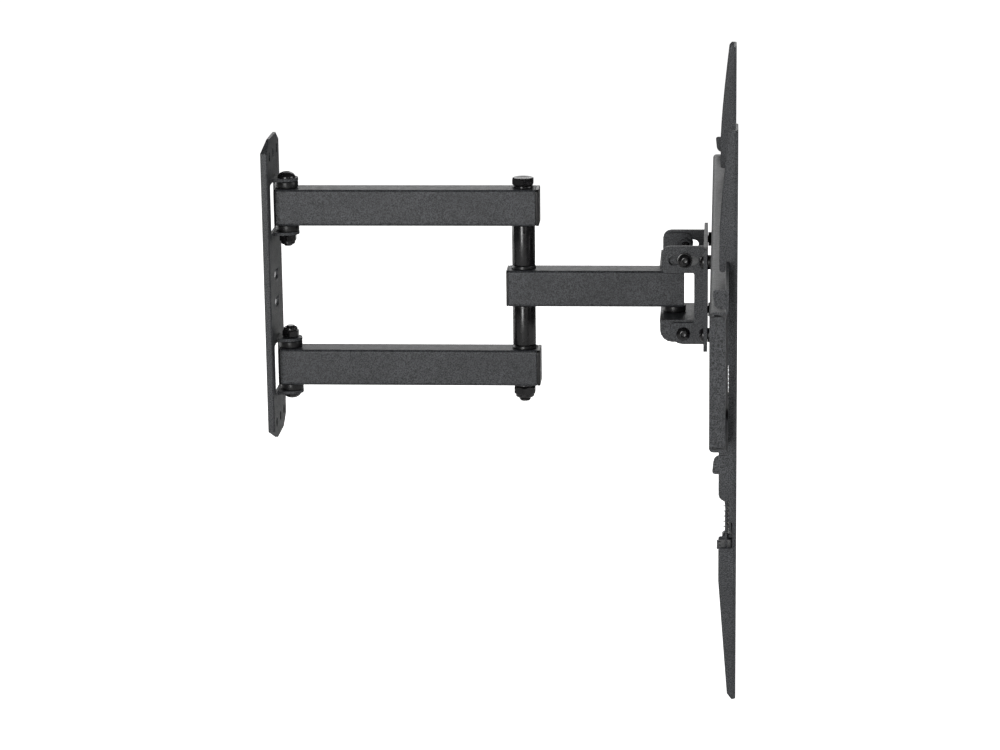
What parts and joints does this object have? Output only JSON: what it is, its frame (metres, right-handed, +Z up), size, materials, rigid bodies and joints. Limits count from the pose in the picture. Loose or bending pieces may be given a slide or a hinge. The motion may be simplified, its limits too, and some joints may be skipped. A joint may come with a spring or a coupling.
{
  "type": "tv wall mount",
  "caption": "Full motion television wall mount: wall plate, double arm, forearm, tilting and levelling head, wide screen plate and hook-on rails with spring latches.",
  "frame": {"origin": "the middle of the plane where the wall plate's back meets the wall", "axes": "+X points out of the wall to the television, +Y runs along the screen's width (to the right for a person facing the television), +Z is up; arms straight out at rest"},
  "size_m": [0.384, 0.654, 0.4415],
  "materials": {
    "powder_coat": "fine-textured matt black powder coat on steel",
    "black_oxide": "glossy black oxide on steel fasteners",
    "nylon": "moulded black nylon, satin",
    "zinc_steel": "bright zinc plating on steel"
  },
  "bodies": {
    "wall": {"wall_plate": "powder_coat", "upper_hinge_bolt": "black_oxide", "upper_hinge_nut": "black_oxide", "upper_hinge_bushing_top": "nylon", "upper_hinge_bushing_bottom": "nylon", "lower_hinge_bolt": "black_oxide", "lower_hinge_nut": "black_oxide", "lower_hinge_bushing_top": "nylon", "lower_hinge_bushing_bottom": "nylon"},
    "arms": {"upper_arm_tube": "powder_coat", "upper_arm_wall_cap": "nylon", "upper_arm_elbow_cap": "nylon", "upper_arm_crush_sleeve": "zinc_steel", "lower_arm_tube": "powder_coat", "lower_arm_wall_cap": "nylon", "lower_arm_elbow_cap": "nylon", "lower_arm_crush_sleeve": "zinc_steel", "elbow_bolt": "black_oxide", "elbow_nut": "black_oxide", "elbow_washer_top": "black_oxide", "elbow_washer_bottom": "black_oxide", "upper_elbow_post": "black_oxide", "lower_elbow_post": "black_oxide", "upper_elbow_disc": "nylon", "lower_elbow_disc": "nylon"},
    "forearm": {"forearm_tube": "powder_coat", "forearm_elbow_cap": "nylon", "forearm_wrist_cap": "nylon", "forearm_elbow_sleeve": "zinc_steel", "forearm_wrist_sleeve": "zinc_steel"},
    "swivel": {"swivel_bracket": "powder_coat", "wrist_bolt": "black_oxide", "wrist_nut": "black_oxide", "wrist_bushing_top": "nylon", "wrist_bushing_bottom": "nylon", "tilt_lock_bolt_left": "black_oxide", "tilt_lock_washer_left": "black_oxide", "tilt_pivot_bolt_left": "black_oxide", "tilt_lock_bolt_right": "black_oxide", "tilt_lock_washer_right": "black_oxide", "tilt_pivot_bolt_right": "black_oxide"},
    "tilt": {"tilt_bracket": "powder_coat"},
    "screen": {"screen_plate": "powder_coat", "level_bolt_left_top": "black_oxide", "level_bolt_left_bottom": "black_oxide", "level_bolt_right_top": "black_oxide", "level_bolt_right_bottom": "black_oxide", "level_spacer_left_top": "nylon", "level_spacer_left_bottom": "nylon", "level_spacer_right_top": "nylon", "level_spacer_right_bottom": "nylon"},
    "rail_left": {"rail_left": "powder_coat", "latch_rod_left": "black_oxide", "latch_spring_left": "zinc_steel"},
    "latch_left": {"latch_left": "powder_coat"},
    "rail_right": {"rail_right": "powder_coat", "latch_rod_right": "black_oxide", "latch_spring_right": "zinc_steel"},
    "latch_right": {"latch_right": "powder_coat"}
  },
  "joints": [
    {"name": "wall_hinge", "type": "hinge", "parent": "wall", "child": "arms", "pos_m": [0.016, 0, 0], "axis": [0, 0, 1], "range_deg": [-80, 80]},
    {"name": "elbow_hinge", "type": "hinge", "parent": "arms", "child": "forearm", "pos_m": [0.21, 0, 0], "axis": [0, 0, -1], "range_deg": [-120, 120]},
    {"name": "wrist_swivel", "type": "hinge", "parent": "forearm", "child": "swivel", "pos_m": [0.3335, 0, 0], "axis": [0, 0, 1], "range_deg": [-80, 80]},
    {"name": "head_tilt", "type": "hinge", "parent": "swivel", "child": "tilt", "pos_m": [0.3411, 0, -0.032], "axis": [0, 1, 0], "range_deg": [-6, 8]},
    {"name": "screen_level", "type": "hinge", "parent": "tilt", "child": "screen", "pos_m": [0.3575, 0, 0], "axis": [1, 0, 0], "range_deg": [-3, 3]},
    {"name": "rail_left_slide", "type": "slide", "parent": "screen", "child": "rail_left", "axis": [0, -1, 0], "range_m": [-0.118, 0.082]},
    {"name": "rail_right_slide", "type": "slide", "parent": "screen", "child": "rail_right", "axis": [0, 1, 0], "range_m": [-0.118, 0.082]},
    {"name": "latch_left_pull", "type": "slide", "parent": "rail_left", "child": "latch_left", "axis": [0, 0, 1], "range_m": [-0.008, 0], "stiffness_N_per_m": 500, "springref_m": 0.012, "deforming": ["latch_spring_left"]},
    {"name": "latch_right_pull", "type": "slide", "parent": "rail_right", "child": "latch_right", "axis": [0, 0, 1], "range_m": [-0.008, 0], "stiffness_N_per_m": 500, "springref_m": 0.012, "deforming": ["latch_spring_right"]}
  ]
}
